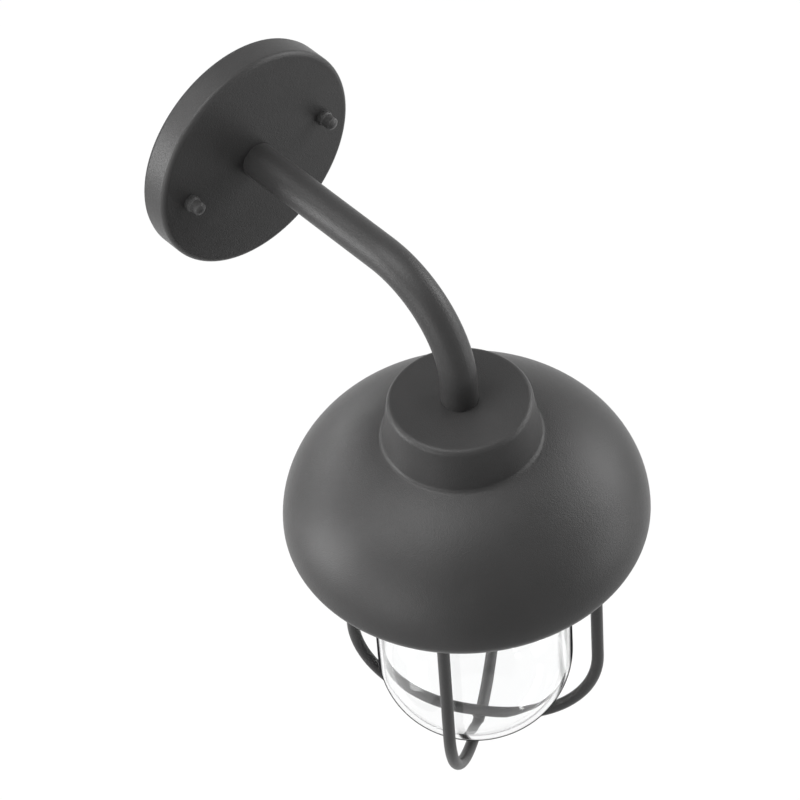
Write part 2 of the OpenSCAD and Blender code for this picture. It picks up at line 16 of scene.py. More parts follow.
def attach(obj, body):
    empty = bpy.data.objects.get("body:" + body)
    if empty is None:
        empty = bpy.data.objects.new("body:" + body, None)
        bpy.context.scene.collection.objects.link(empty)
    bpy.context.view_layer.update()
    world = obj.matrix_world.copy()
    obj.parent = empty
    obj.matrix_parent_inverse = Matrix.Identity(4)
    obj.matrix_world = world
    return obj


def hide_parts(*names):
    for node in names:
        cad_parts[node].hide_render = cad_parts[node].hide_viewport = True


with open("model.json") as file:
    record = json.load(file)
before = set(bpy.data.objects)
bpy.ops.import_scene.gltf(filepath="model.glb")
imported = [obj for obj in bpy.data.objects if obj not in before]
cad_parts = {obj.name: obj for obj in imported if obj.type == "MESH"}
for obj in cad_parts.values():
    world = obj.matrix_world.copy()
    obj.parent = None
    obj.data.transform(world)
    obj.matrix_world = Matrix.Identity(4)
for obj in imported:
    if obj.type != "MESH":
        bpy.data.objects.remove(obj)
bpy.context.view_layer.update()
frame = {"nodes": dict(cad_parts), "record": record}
NODES = frame["nodes"]

# %% [markdown]
# The camera comes first, because every later choice is judged through it. The photograph
# was taken from above and to the left with a long lens, which keeps the round plate and
# the dome free of strong perspective. The camera here has the same heading, the same
# tilt and the same slight roll, so that a piece lands on the same spot of the picture.

# %% Camera
MM = 0.001
SENSOR_MM = 36.0
LENS_MM = 180.0
HEADING = math.radians(-38.574)
TILT = math.radians(46.843)
ROLL = math.radians(-4.446)
LOOK_AT = Vector((-24.526, -156.233, -68.474)) * MM
STAND_OFF = 2.1516


def camera_axes():
    """Right, up and back directions of the camera."""
    back = Vector((math.sin(HEADING) * math.cos(TILT),
                   -math.cos(HEADING) * math.cos(TILT),
                   math.sin(TILT)))
    level = Vector((math.cos(HEADING), math.sin(HEADING), 0.0))
    above = back.cross(level)
    right = level * math.cos(ROLL) + above * math.sin(ROLL)
    up = above * math.cos(ROLL) - level * math.sin(ROLL)
    return right, up, back


right, up, back = camera_axes()
eye = LOOK_AT + back * STAND_OFF
bpy.ops.object.camera_add(location=eye)
camera = bpy.context.object
camera.name = "photo_camera"
turn = Matrix((right, up, back)).transposed().to_4x4()
camera.matrix_world = Matrix.Translation(eye) @ turn
camera.data.sensor_width = SENSOR_MM
camera.data.lens = LENS_MM
camera.data.clip_start = 0.05
camera.data.clip_end = 60.0
bpy.context.scene.camera = camera
bpy.context.scene.view_settings.view_transform = "Standard"
print("camera stands at", [round(v, 3) for v in eye])

# %% [markdown]
# A node tree is easier to read when it is built from a few small helpers. One starts a
# material with its surface shader, one adds a node with its settings, one wires sockets,
# and one gives a noise pattern that reads the piece's own object coordinates, so that
# the grain keeps its real size in millimetres on every piece.

# %% Material helpers
def new_material(name):
    """An empty node material with a Principled surface."""
    material = bpy.data.materials.new(name)
    material.use_nodes = True
    shader = material.node_tree.nodes["Principled BSDF"]
    return material, material.node_tree, shader


def add_node(tree, kind, **settings):
    """One node with its properties and its input values set."""
    node = tree.nodes.new(kind)
    for key, value in settings.items():
        if key in node.inputs:
            node.inputs[key].default_value = value
        else:
            setattr(node, key, value)
    return node


def wire(tree, source, target):
    """Joins an output socket to an input socket."""
    tree.links.new(source, target)


def object_space(tree):
    """The piece's own coordinates, in metres."""
    return add_node(tree, "ShaderNodeTexCoord").outputs["Object"]


def noise(tree, place, grains_per_metre, detail=3.0):
    """A noise pattern with so many grains to the metre."""
    node = add_node(tree, "ShaderNodeTexNoise", Scale=grains_per_metre, Detail=detail)
    wire(tree, place, node.inputs["Vector"])
    return node.outputs["Fac"]


def remap(tree, source, low, high, to_low, to_high):
    """Stretches the middle of a pattern to a range of values."""
    node = add_node(tree, "ShaderNodeMapRange")
    for index, value in enumerate((low, high, to_low, to_high), start=1):
        node.inputs[index].default_value = value
    wire(tree, source, node.inputs["Value"])
    return node.outputs["Result"]


def blend_colours(tree, share, first, second):
    """Mixes two colours, or two colour sockets, by a share."""
    node = add_node(tree, "ShaderNodeMix", data_type="RGBA")
    wire(tree, share, node.inputs["Factor"])
    for socket, colour in ((node.inputs[6], first), (node.inputs[7], second)):
        if isinstance(colour, tuple):
            socket.default_value = (*colour, 1.0)
        else:
            wire(tree, colour, socket)
    return node.outputs[2]


def add_bump(tree, shader, heights):
    """Lays patterns over each other as bumps. Each is (pattern, height in metres)."""
    normal = None
    for pattern, height in heights:
        bump = add_node(tree, "ShaderNodeBump", Distance=height)
        wire(tree, pattern, bump.inputs["Height"])
        if normal is not None:
            wire(tree, normal, bump.inputs["Normal"])
        normal = bump.outputs["Normal"]
    wire(tree, normal, shader.inputs["Normal"])


def edge_mask(tree, width):
    """Is 1 along sharp edges and 0 on open surfaces."""
    soft = add_node(tree, "ShaderNodeBevel", samples=4, Radius=width)
    face = add_node(tree, "ShaderNodeNewGeometry")
    dot = add_node(tree, "ShaderNodeVectorMath", operation="DOT_PRODUCT")
    wire(tree, soft.outputs["Normal"], dot.inputs[0])
    wire(tree, face.outputs["Normal"], dot.inputs[1])
    return remap(tree, dot.outputs["Value"], 0.995, 0.85, 0.0, 1.0)


MATERIALS = {}
print("helpers ready")

# %% [markdown]
# **Powder coat.** The metal that shows is baked powder paint: a charcoal film, satin,
# with the fine orange peel that powder leaves when it flows. Three things carry it: a
# little colour drift over some centimetres, grain at about half a millimetre in the
# bump and the roughness, and edges where the film is thin and rubbed a little paler.

# %% Powder coat
DRIFT_PER_METRE = 26.0
PATCHES_PER_METRE = 240.0
COAT_GRAIN = 1900.0
COAT_PEEL = 750.0
FINE_GRAIN = 2600.0
FINE_PEEL = 900.0
GRAIN_HEIGHT = 0.00014
PEEL_HEIGHT = 0.00009
COAT_ROUGH_LOW = 0.32
COAT_ROUGH_HIGH = 0.44
COAT_GLOSS = 0.22
RUBBED_WIDTH = 0.0006
RUBBED_SHARE = 0.35
RUBBED_PALER = 2.2


def powder_coat(name, dark, pale, grain, peel):
    """Satin powder paint between a dark and a pale tone."""
    material, tree, shader = new_material(name)
    place = object_space(tree)
    drift = remap(tree, noise(tree, place, DRIFT_PER_METRE, 4.0), 0.35, 0.65, 0.0, 1.0)
    film = blend_colours(tree, drift, dark, pale)
    edges = edge_mask(tree, RUBBED_WIDTH)
    patches = noise(tree, place, PATCHES_PER_METRE, 5.0)
    patchy = remap(tree, patches, 0.45, 0.62, 0.0, RUBBED_SHARE)
    both = add_node(tree, "ShaderNodeMath", operation="MULTIPLY")
    wire(tree, edges, both.inputs[0])
    wire(tree, patchy, both.inputs[1])
    rubbed = tuple(min(1.0, channel * RUBBED_PALER) for channel in pale)
    colour = blend_colours(tree, both.outputs[0], film, rubbed)
    wire(tree, colour, shader.inputs["Base Color"])
    fine = noise(tree, place, grain, 2.0)
    wire(tree, remap(tree, fine, 0.3, 0.7, COAT_ROUGH_LOW, COAT_ROUGH_HIGH),
         shader.inputs["Roughness"])
    shader.inputs["Specular IOR Level"].default_value = COAT_GLOSS
    flow = noise(tree, place, peel, 2.0)
    add_bump(tree, shader, [(flow, PEEL_HEIGHT), (fine, GRAIN_HEIGHT)])
    MATERIALS[name] = material


powder_coat("powder_coat", (0.0275, 0.027, 0.027), (0.0325, 0.032, 0.032),
            COAT_GRAIN, COAT_PEEL)
# The cap nuts' coat is the same powder paint with a finer grain, made paler: the lighter tone is
# a painted highlight for the light the small nuts catch.
powder_coat("powder_coat_small", (0.040, 0.0395, 0.0395), (0.050, 0.0495, 0.0495),
            FINE_GRAIN, FINE_PEEL)
powder_coat("guard_screw_metal", (0.028, 0.028, 0.028), (0.038, 0.0375, 0.0375),
            FINE_GRAIN, FINE_PEEL)
print("coats:", sorted(MATERIALS))

# %% [markdown]
# ** Clear glass.** A pressed jar is almost colourless. Its rim is given a thin dark line of
# painted shade: a facing weight paints the wall near black and takes the clearness away
# only where the wall is seen edge-on.
# Pressing leaves slow waves in the surface, which the bump gives at centimetre scale.

# %% Glass
PAINTED_SHADE_STARTS = 0.79
PAINTED_SHADE_FULL = 0.87
PAINTED_EDGE_SHADE = (0.012, 0.012, 0.013)
EDGE_SHINE = (0.35, 0.35, 0.35, 1.0)
GLASS_IOR = 1.47
WAVES_PER_METRE = 30.0
WAVE_HEIGHT = 0.00004


def clear_glass(name):
    """Clear pressed glass with painted shade where its wall is seen edge-on."""
    material, tree, shader = new_material(name)
    place = object_space(tree)
    facing = add_node(tree, "ShaderNodeLayerWeight", Blend=0.5).outputs["Facing"]
    # Painted shade: where the wall is seen edge-on, the colour turns near black and the glass
    # stops being clear.
    rim = remap(tree, facing, PAINTED_SHADE_STARTS, PAINTED_SHADE_FULL, 0.0, 1.0)
    cloud = remap(tree, noise(tree, place, 18.0), 0.4, 0.6, 0.0, 1.0)
    body = blend_colours(tree, cloud, (0.978, 0.982, 0.982), (0.988, 0.99, 0.99))
    wire(tree, blend_colours(tree, rim, body, PAINTED_EDGE_SHADE), shader.inputs["Base Color"])
    wire(tree, remap(tree, rim, 0.0, 1.0, 1.0, 0.0), shader.inputs["Transmission Weight"])
    shader.inputs["Specular IOR Level"].default_value = 0.0
    shader.inputs["Specular Tint"].default_value = EDGE_SHINE
    wire(tree, remap(tree, noise(tree, place, 60.0), 0.3, 0.7, 0.0, 0.008),
         shader.inputs["Roughness"])
    shader.inputs["IOR"].default_value = GLASS_IOR
    add_bump(tree, shader, [(noise(tree, place, WAVES_PER_METRE, 1.0), WAVE_HEIGHT)])
    MATERIALS[name] = material


clear_glass("clear_glass")
print("glass ready")

# %% [markdown]
# **Bare metals.** Zinc plating, cast aluminium and pressed brass are all metallic, and
# differ in colour, in grain and in how patchy they are. One recipe serves the three: a
# cloudy colour, a roughness that follows the clouds, and a bump for the casting skin or
# the drawn lines.

# %% Bare metals
CLOUDS_PER_METRE = 160.0
WORN_WIDTH = 0.0003
WORN_PALER = 1.25


def bare_metal(name, dull, bright, rough_low, rough_high, grain, grain_height):
    """A clouded metal whose edges are worn a little brighter."""
    material, tree, shader = new_material(name)
    place = object_space(tree)
    clouds = remap(tree, noise(tree, place, CLOUDS_PER_METRE, 5.0), 0.35, 0.65, 0.0, 1.0)
    body = blend_colours(tree, clouds, dull, bright)
    worn = tuple(min(1.0, channel * WORN_PALER) for channel in bright)
    wire(tree, blend_colours(tree, edge_mask(tree, WORN_WIDTH), body, worn),
         shader.inputs["Base Color"])
    wire(tree, remap(tree, clouds, 0.0, 1.0, rough_high, rough_low), shader.inputs["Roughness"])
    shader.inputs["Metallic"].default_value = 1.0
    add_bump(tree, shader, [(noise(tree, place, grain, 4.0), grain_height)])
    MATERIALS[name] = material


bare_metal("zinc_steel", (0.50, 0.51, 0.53), (0.64, 0.65, 0.67), 0.26, 0.42, 900.0, 0.00002)
bare_metal("cast_aluminium", (0.52, 0.52, 0.53), (0.64, 0.64, 0.65), 0.42, 0.58, 1300.0, 0.00010)
bare_metal("shell_brass", (0.60, 0.42, 0.18), (0.76, 0.56, 0.27), 0.22, 0.38, 700.0, 0.00002)
print("metals ready")

# %% [markdown]
# **Porcelain, rubber, foam, plastic and wire covering.** These are not metals, so they
# share a second recipe: a colour with a second one clouded into it, a roughness range,
# a bump, and a clear coat where the surface is glazed.

# %% Non-metals
SMOOTH_SKIN = 0.00002
SOFT_SKIN = 0.00003
FOAM_SKIN = 0.00025


def plain_matter(name, first, second, rough_low, rough_high, grain, height, coat=0.0, clear=0.0):
    """A clouded colour with a fine grain, glazed or see-through where asked."""
    material, tree, shader = new_material(name)
    place = object_space(tree)
    clouds = remap(tree, noise(tree, place, grain / 6.0, 4.0), 0.35, 0.65, 0.0, 1.0)
    wire(tree, blend_colours(tree, clouds, first, second), shader.inputs["Base Color"])
    fine = noise(tree, place, grain, 3.0)
    wire(tree, remap(tree, fine, 0.3, 0.7, rough_low, rough_high), shader.inputs["Roughness"])
    shader.inputs["Coat Weight"].default_value = coat
    shader.inputs["Coat Roughness"].default_value = 0.08
    shader.inputs["Transmission Weight"].default_value = clear
    add_bump(tree, shader, [(fine, height)])
    MATERIALS[name] = material


plain_matter("porcelain", (0.80, 0.78, 0.74), (0.86, 0.84, 0.80),
             0.16, 0.26, 500.0, SMOOTH_SKIN, coat=0.6)
plain_matter("pale_silicone", (0.60, 0.60, 0.58), (0.70, 0.70, 0.68),
             0.35, 0.5, 700.0, SMOOTH_SKIN, clear=0.25)
plain_matter("black_rubber", (0.016, 0.016, 0.016), (0.026, 0.026, 0.026),
             0.55, 0.75, 1200.0, SOFT_SKIN)
plain_matter("black_foam", (0.018, 0.018, 0.019), (0.034, 0.034, 0.035),
             0.8, 0.95, 1600.0, FOAM_SKIN)
plain_matter("black_lead", (0.016, 0.016, 0.016), (0.026, 0.026, 0.026),
             0.38, 0.5, 1200.0, SMOOTH_SKIN)
plain_matter("white_lead", (0.76, 0.75, 0.72), (0.84, 0.83, 0.80),
             0.38, 0.5, 1200.0, SMOOTH_SKIN)
plain_matter("green_lead", (0.04, 0.22, 0.07), (0.06, 0.28, 0.10),
             0.38, 0.5, 1200.0, SMOOTH_SKIN)
plain_matter("green_screw", (0.05, 0.19, 0.07), (0.07, 0.26, 0.10),
             0.32, 0.5, 1600.0, SMOOTH_SKIN)
plain_matter("orange_plastic", (0.70, 0.30, 0.045), (0.80, 0.37, 0.06),
             0.26, 0.38, 900.0, SMOOTH_SKIN)
print("materials:", len(MATERIALS))

# %% [markdown]
# Each measured part names the finish that the record gives it. The part's own material
# slot then takes the node material of that name, so no part is left with the plain
# colour that it came in with.

# %% Dress the measured parts
SLOT_OF = {row["node"]: row["material_slot"] for row in frame["record"]["subparts"]}
for node_name, slot_name in SLOT_OF.items():
    mesh = NODES[node_name].data
    mesh.materials.clear()
    mesh.materials.append(MATERIALS[slot_name])
print("dressed:", len(SLOT_OF))

# %% [markdown]
# Now the finer pieces. Most parts of a light are turned, spun or pressed round an axis, so
# one helper does the work of a lathe: it adds a circle at the first row of a profile, then
# extrudes it row by row, and each new ring is moved along the axis and resized.
# Distances along the axis and radii are in millimetres, as on a workshop drawing.

# %% Modelling helpers
AXIS_TOP = Vector((0.0, -177.0, -70.0)) * MM
UP = Vector((0.0, 0.0, 1.0))
DOWN = Vector((0.0, 0.0, -1.0))
OUTWARD = Vector((0.0, -1.0, 0.0))


def make_active(piece):
    """Selects one piece alone."""
    bpy.ops.object.select_all(action="DESELECT")
    piece.select_set(True)
    bpy.context.view_layer.objects.active = piece


def open_mesh(name):
    """Names the piece just added and opens its mesh with everything selected."""
    piece = bpy.context.object
    piece.name = name
    bpy.ops.object.mode_set(mode="EDIT")
    bpy.ops.mesh.select_all(action="SELECT")
    return piece


def close_mesh():
    """Turns all faces outward and leaves edit mode."""
    bpy.ops.mesh.select_all(action="SELECT")
    bpy.ops.mesh.normals_make_consistent(inside=False)
    bpy.ops.object.mode_set(mode="OBJECT")


def turned(name, foot, heading, profile, steps=64, ends="fill"):
    """A round piece. Each profile row is (distance along the axis, radius)."""
    tilt = UP.rotation_difference(heading).to_euler()
    distance, radius = profile[0]
    bpy.ops.object.select_all(action="DESELECT")
    bpy.ops.mesh.primitive_circle_add(vertices=steps, radius=radius * MM, rotation=tilt,
                                      location=foot + heading * distance * MM)
    piece = open_mesh(name)
    for next_distance, next_radius in profile[1:]:
        step = heading * (next_distance - distance) * MM
        bpy.ops.mesh.extrude_region_move(TRANSFORM_OT_translate={"value": step})
        spot = foot + heading * next_distance * MM
        share = next_radius / radius
        bpy.ops.transform.resize(value=(share, share, share), center_override=spot)
        distance, radius = next_distance, next_radius
    if ends == "fill":
        bpy.ops.mesh.select_all(action="SELECT")
        bpy.ops.mesh.fill_holes(sides=0)
    if ends == "bridge":
        bpy.ops.mesh.select_all(action="DESELECT")
        bpy.ops.mesh.select_non_manifold()
        bpy.ops.mesh.bridge_edge_loops()
    close_mesh()
    return piece


def corner(distance, radius, size, start, end, steps=5):
    """Rows on a round corner. Angle 0 faces away from the axis and 90 faces ahead."""
    angles = [math.radians(start + (end - start) * i / steps) for i in range(steps + 1)]
    return [(distance + size * math.sin(a), radius + size * math.cos(a)) for a in angles]


def rows(start, end, radius, count):
    """Evenly spaced rows of one radius, for a surface that gets a thread or grooves."""
    return [(start + (end - start) * i / count, radius) for i in range(count + 1)]


def wind_thread(piece, foot, heading, pitch, height, start, end, low_r, high_r, fade=1.0):
    """Raises a helical ridge on the points between two radii and two distances."""
    side = heading.orthogonal().normalized()
    front = heading.cross(side)
    for vertex in piece.data.vertices:
        offset = vertex.co - foot
        distance = offset.dot(heading) / MM
        across = offset - heading * offset.dot(heading)
        radius = across.length / MM
        if start < distance < end and low_r < radius < high_r:
            angle = math.atan2(across.dot(front), across.dot(side)) / (2.0 * math.pi)
            phase = (distance / pitch - angle) * 2.0 * math.pi
            inset = min(distance - start, end - distance) / fade
            lift = height * (0.5 + 0.5 * math.cos(phase)) * min(1.0, inset)
            vertex.co += across.normalized() * lift * MM


def flute(piece, foot, heading, count, depth, start, end, low_r, fade=0.8):
    """Presses grooves along the axis into the points beyond a radius."""
    side = heading.orthogonal().normalized()
    front = heading.cross(side)
    for vertex in piece.data.vertices:
        offset = vertex.co - foot
        distance = offset.dot(heading) / MM
        across = offset - heading * offset.dot(heading)
        if start < distance < end and across.length / MM > low_r:
            wave = math.cos(math.atan2(across.dot(front), across.dot(side)) * count)
            inset = min(1.0, (distance - start) / fade, (end - distance) / fade)
            vertex.co -= across.normalized() * depth * (0.5 - 0.5 * wave) * inset * MM


def place_in_mesh(piece):
    """Moves the piece's place and turn into its mesh."""
    make_active(piece)
    bpy.ops.object.transform_apply(location=True, rotation=True, scale=True)


def settle(piece, slot_name, body, *stands_for, smooth=40.0):
    """Smooths and dresses a piece, and lets it ride on a body of the frame."""
    bpy.ops.object.shade_smooth_by_angle(angle=math.radians(smooth))
    piece.data.materials.clear()
    piece.data.materials.append(MATERIALS[slot_name])
    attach(piece, body)
    if stands_for:
        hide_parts(*stands_for)
    print(piece.name, "faces:", len(piece.data.polygons))
    return piece


def copy_of(piece, name, shift):
    """A copy with its own mesh, shifted in its mesh."""
    make_active(piece)
    bpy.ops.object.duplicate()
    twin = bpy.context.object
    twin.name = name
    bpy.ops.object.mode_set(mode="EDIT")
    bpy.ops.mesh.select_all(action="SELECT")
    bpy.ops.transform.translate(value=shift)
    bpy.ops.object.mode_set(mode="OBJECT")
    return twin


def bore(piece, spot, heading, radius, depth):
    """Cuts a round hole through a piece with a cutter that is deleted afterwards."""
    tilt = UP.rotation_difference(heading).to_euler()
    bpy.ops.object.select_all(action="DESELECT")
    bpy.ops.mesh.primitive_cylinder_add(vertices=32, radius=radius * MM, depth=depth * MM,
                                        location=spot, rotation=tilt)
    cutter = bpy.context.object
    cut = piece.modifiers.new("bore", "BOOLEAN")
    cut.object = cutter
    cut.solver = "EXACT"
    make_active(piece)
    bpy.ops.object.modifier_apply(modifier=cut.name)
    bpy.data.objects.remove(cutter)


print("modelling helpers ready")

# %% [markdown]
# **Cap nuts.** Each is turned from bar: a wide foot on its washer, a short hollow curve,
# a barrel, and a domed end with a fine turned line round it. The second is a copy.

# %% Cap nuts
NUT_FOOT_R = 4.5
NUT_BARREL_R = 3.7
NUT_DOME_R = 5.1
NUT_DOME_ANGLE = 43.0
NUT_BORE_R = 2.2
NUT_EDGE = 0.4
NUT_LENGTH = 9.2
NUT_SPACING = Vector((95.0, 0.0, 0.0)) * MM
nut_foot = Vector((-47.5, -17.8, 0.0)) * MM
profile = [(0.0, NUT_BORE_R), (0.0, NUT_FOOT_R - NUT_EDGE)]
profile += corner(0.4, NUT_FOOT_R - NUT_EDGE, NUT_EDGE, -60.0, 0.0, 4)
profile += corner(2.0, NUT_FOOT_R - NUT_EDGE, NUT_EDGE, 0.0, 60.0, 4)
profile += [(2.55, 4.05), (2.8, 3.86), (3.1, 3.74), (3.5, NUT_BARREL_R), (7.0, 3.68)]
profile += [(7.1, 3.58), (7.22, 3.58), (7.32, 3.68), (7.6, 3.64)]
for i in range(1, 9):
    a = math.radians(NUT_DOME_ANGLE * (1.0 - i / 8.0))
    reach = NUT_LENGTH - NUT_DOME_R * (1.0 - math.cos(a))
    profile.append((reach, max(0.12, NUT_DOME_R * math.sin(a))))
left_nut = turned("cap_nut_left_turned", nut_foot, OUTWARD, profile, 40)
place_in_mesh(left_nut)
right_nut = copy_of(left_nut, "cap_nut_right_turned", NUT_SPACING)
# Both nuts take the paler coat, whose lighter tone is a painted highlight.
settle(right_nut, "powder_coat_small", "right_cap_nut", "cap_nut_right")
make_active(left_nut)
settle(left_nut, "powder_coat_small", "left_cap_nut", "cap_nut_left")

# %% [markdown]
# **Studs.** When a cap nut comes off, the thread of its stud shows. A rod with a ring
# every sixth of the pitch is fine enough for the ridge that winds round it.

# %% Studs with their thread
STUD_PITCH = 0.7
STUD_LENGTH = 23.8
STUD_CORE_R = 1.72
STUD_RIDGE = 0.27
RINGS_PER_PITCH = 6
ring_count = int(STUD_LENGTH / STUD_PITCH) * RINGS_PER_PITCH
stud_foot = Vector((-47.5, 0.0, 0.0)) * MM
profile = [(0.0, 1.5)] + rows(0.15, STUD_LENGTH - 0.4, STUD_CORE_R, ring_count)
profile += [(STUD_LENGTH, 1.3)]
left_stud = turned("stud_left_threaded", stud_foot, OUTWARD, profile, 20)
place_in_mesh(left_stud)
wind_thread(left_stud, stud_foot, OUTWARD, STUD_PITCH, STUD_RIDGE, 0.1, STUD_LENGTH,
            1.6, 2.0, 0.5)
right_stud = copy_of(left_stud, "stud_right_threaded", NUT_SPACING)
settle(right_stud, "zinc_steel", "lamp", smooth=60.0)
make_active(left_stud)
settle(left_stud, "zinc_steel", "lamp", "bracket_studs", smooth=60.0)

# %% [markdown]
# **Glass jar.** One closed wall: down the outside from the lip, over the threaded neck and
# the shoulder, down the straight side and round the bottom, then back up the inside.
# The thread is a soft ridge that winds nearly twice round the neck and fades at both ends.

# %% Glass jar
JAR_R = 56.3
JAR_NECK_R = 42.05
JAR_FLAT_R = 12.2
GLASS = 2.8
JAR_TOP = 50.0
NECK_END = 70.0
SHOULDER = 16.0
JAR_BOTTOM = 254.3
ROUND_R = JAR_R - JAR_FLAT_R
ROUND_START = JAR_BOTTOM - ROUND_R
POLE_R = 0.4
JAR_PITCH = 4.8
JAR_RIDGE = 1.0
THREAD_START = 52.5
THREAD_END = 62.0


def jar_face(inset, neck_rows):
    """One face of the jar from neck to pole, moved inward by an inset."""
    face = rows(JAR_TOP + 1.6, NECK_END - 1.0, JAR_NECK_R - inset, neck_rows)
    for i in range(13):
        ease = (1.0 - math.cos(math.pi * i / 12.0)) / 2.0
        face.append((NECK_END + SHOULDER * i / 12.0,
                     JAR_NECK_R - inset + (JAR_R - JAR_NECK_R) * ease))
    face += corner(ROUND_START, JAR_FLAT_R, ROUND_R - inset, 0.0, 90.0, 28)
    face += [(JAR_BOTTOM - inset, 8.0), (JAR_BOTTOM - inset, 4.0), (JAR_BOTTOM - inset, POLE_R)]
    return face


outside = jar_face(0.0, 34)
outside.reverse()
lip = corner(JAR_TOP + GLASS / 2.0, JAR_NECK_R - GLASS / 2.0, GLASS / 2.0, 0.0, -180.0, 8)
jar = turned("glass_jar_pressed", AXIS_TOP, DOWN, outside + lip + jar_face(GLASS, 6), 112)
place_in_mesh(jar)
wind_thread(jar, AXIS_TOP, DOWN, JAR_PITCH, JAR_RIDGE, THREAD_START, THREAD_END,
            JAR_NECK_R - 0.2, JAR_NECK_R + 0.2, 2.0)
settle(jar, "clear_glass", "jar", "glass_jar", smooth=60.0)

# %% [markdown]
# **Guard hoops.** Each is one length of round wire: down from the ring, round a bend,
# across the bottom and up again. The wire's circle is extruded along the legs and spun
# round the bends. The front hoop lies under the side hoop, and both end on the ring.

# %% Guard hoops
GUARD_R = 71.9
WIRE_R = 3.5
RING_BOTTOM = 66.5
FRONT_TURN = math.radians(36.0)
LOWER_DEPTH = 275.0
UPPER_DEPTH = LOWER_DEPTH - 2.0 * WIRE_R - 0.02
BEND_STEPS = 24
SIDE_BEND_R = GUARD_R - 6.2


def on_guard(along, across, depth, turn):
    """A point given along and across a hoop's plane, at a depth below the neck's top."""
    x = along * math.cos(turn) - across * math.sin(turn)
    y = along * math.sin(turn) + across * math.cos(turn)
    return AXIS_TOP + Vector((x, y, -depth)) * MM


def hoop(name, depth, turn, bend_r):
    """One bent wire of the guard."""
    run = GUARD_R - bend_r
    bend_depth = depth - bend_r
    drop = Vector((0.0, 0.0, RING_BOTTOM - bend_depth)) * MM
    plane_axis = Vector((math.sin(turn), -math.cos(turn), 0.0))
    bpy.ops.object.select_all(action="DESELECT")
    bpy.ops.mesh.primitive_circle_add(vertices=24, radius=WIRE_R * MM,
                                      location=on_guard(GUARD_R, 0.0, RING_BOTTOM, turn))
    piece = open_mesh(name)
    bpy.ops.mesh.extrude_region_move(TRANSFORM_OT_translate={"value": drop})
    bpy.ops.mesh.spin(steps=BEND_STEPS, angle=math.radians(90.0), axis=plane_axis,
                      center=on_guard(run, 0.0, bend_depth, turn))
    if run > 0.01:
        across = on_guard(-run, 0.0, depth, turn) - on_guard(run, 0.0, depth, turn)
        bpy.ops.mesh.extrude_region_move(TRANSFORM_OT_translate={"value": across})
    bpy.ops.mesh.spin(steps=BEND_STEPS, angle=math.radians(90.0), axis=plane_axis,
                      center=on_guard(-run, 0.0, bend_depth, turn))
    bpy.ops.mesh.extrude_region_move(TRANSFORM_OT_translate={"value": -drop})
    bpy.ops.mesh.select_all(action="SELECT")
    bpy.ops.mesh.fill_holes(sides=0)
    close_mesh()
    place_in_mesh(piece)
    low = min(vertex.co.z for vertex in piece.data.vertices)
    print(name, "reaches down to", round(low, 4))
    return piece


front_hoop = hoop("guard_hoop_front_wire", LOWER_DEPTH, FRONT_TURN, GUARD_R)
settle(front_hoop, "powder_coat", "guard", "guard_hoop_front")
side_hoop = hoop("guard_hoop_side_wire", UPPER_DEPTH, FRONT_TURN + math.radians(90.0),
                 SIDE_BEND_R)
settle(side_hoop, "powder_coat", "guard", "guard_hoop_side")

# %% [markdown]
# **Welds.** A bead of weld metal runs round each leg where it meets the ring, and a flat
# blob joins the two hoops where they cross. The legs' bead is modelled once and copied.

# %% Welds
RIPPLE_PITCH = 0.5
RIPPLE_HEIGHT = 0.12
BLOB_R = 4.3
BLOB_FLATNESS = 0.42
bead_profile = [(0.0, 4.9), (0.25, 4.95), (0.6, 4.7), (1.0, 4.25), (1.5, 3.9)]
bead_profile += [(2.0, 3.68), (2.4, 3.45)]
legs = [on_guard(side * GUARD_R, 0.0, RING_BOTTOM, turn)
        for turn in (FRONT_TURN, FRONT_TURN + math.radians(90.0)) for side in (-1, 1)]
beads = [turned("guard_welds", legs[0], DOWN, bead_profile, 24)]
place_in_mesh(beads[0])
wind_thread(beads[0], legs[0], DOWN, RIPPLE_PITCH, RIPPLE_HEIGHT, 0.2, 2.0, 3.6, 5.2, 0.6)
for leg in legs[1:]:
    beads.append(copy_of(beads[0], "leg_bead", leg - legs[0]))
crossing = on_guard(0.0, 0.0, (LOWER_DEPTH + UPPER_DEPTH) / 2.0, FRONT_TURN)
bpy.ops.object.select_all(action="DESELECT")
bpy.ops.mesh.primitive_uv_sphere_add(segments=24, ring_count=12, radius=BLOB_R * MM,
                                     location=crossing)
blob = open_mesh("crossing_bead")
bpy.ops.transform.resize(value=(1.0, 1.0, BLOB_FLATNESS), center_override=crossing)
close_mesh()
place_in_mesh(blob)
bpy.ops.object.select_all(action="DESELECT")
for piece in beads + [blob]:
    piece.select_set(True)
bpy.context.view_layer.objects.active = beads[0]
bpy.ops.object.join()
settle(beads[0], "powder_coat", "guard", smooth=50.0)

# %% [markdown]
# **Shade.** It is spun from one sheet over a form: flat top, tight edge, a flaring neck,
# a soft blend into the dome, and a rim tucked inwards. The sheet's cut edge is rounded.
# The outer face is set out first, and the inner face follows it at the sheet's thickness.

# %% Shade
SHEET = 1.5
NECK_R = 40.0
NECK_FOOT_R = 43.5
NECK_EDGE = 3.5
BLEND = 2.2
SHADE_R = 101.96
DOME_RISE = 68.0
DOME_MID = 88.6
RIM_R = 98.5
RIM_DEPTH = 96.0
NIPPLE_HOLE_R = 6.8


def dome_depth(radius):
    """Depth of the dome's outer face at a radius."""
    return DOME_MID - DOME_RISE * math.sqrt(1.0 - (radius / SHADE_R) ** 2)


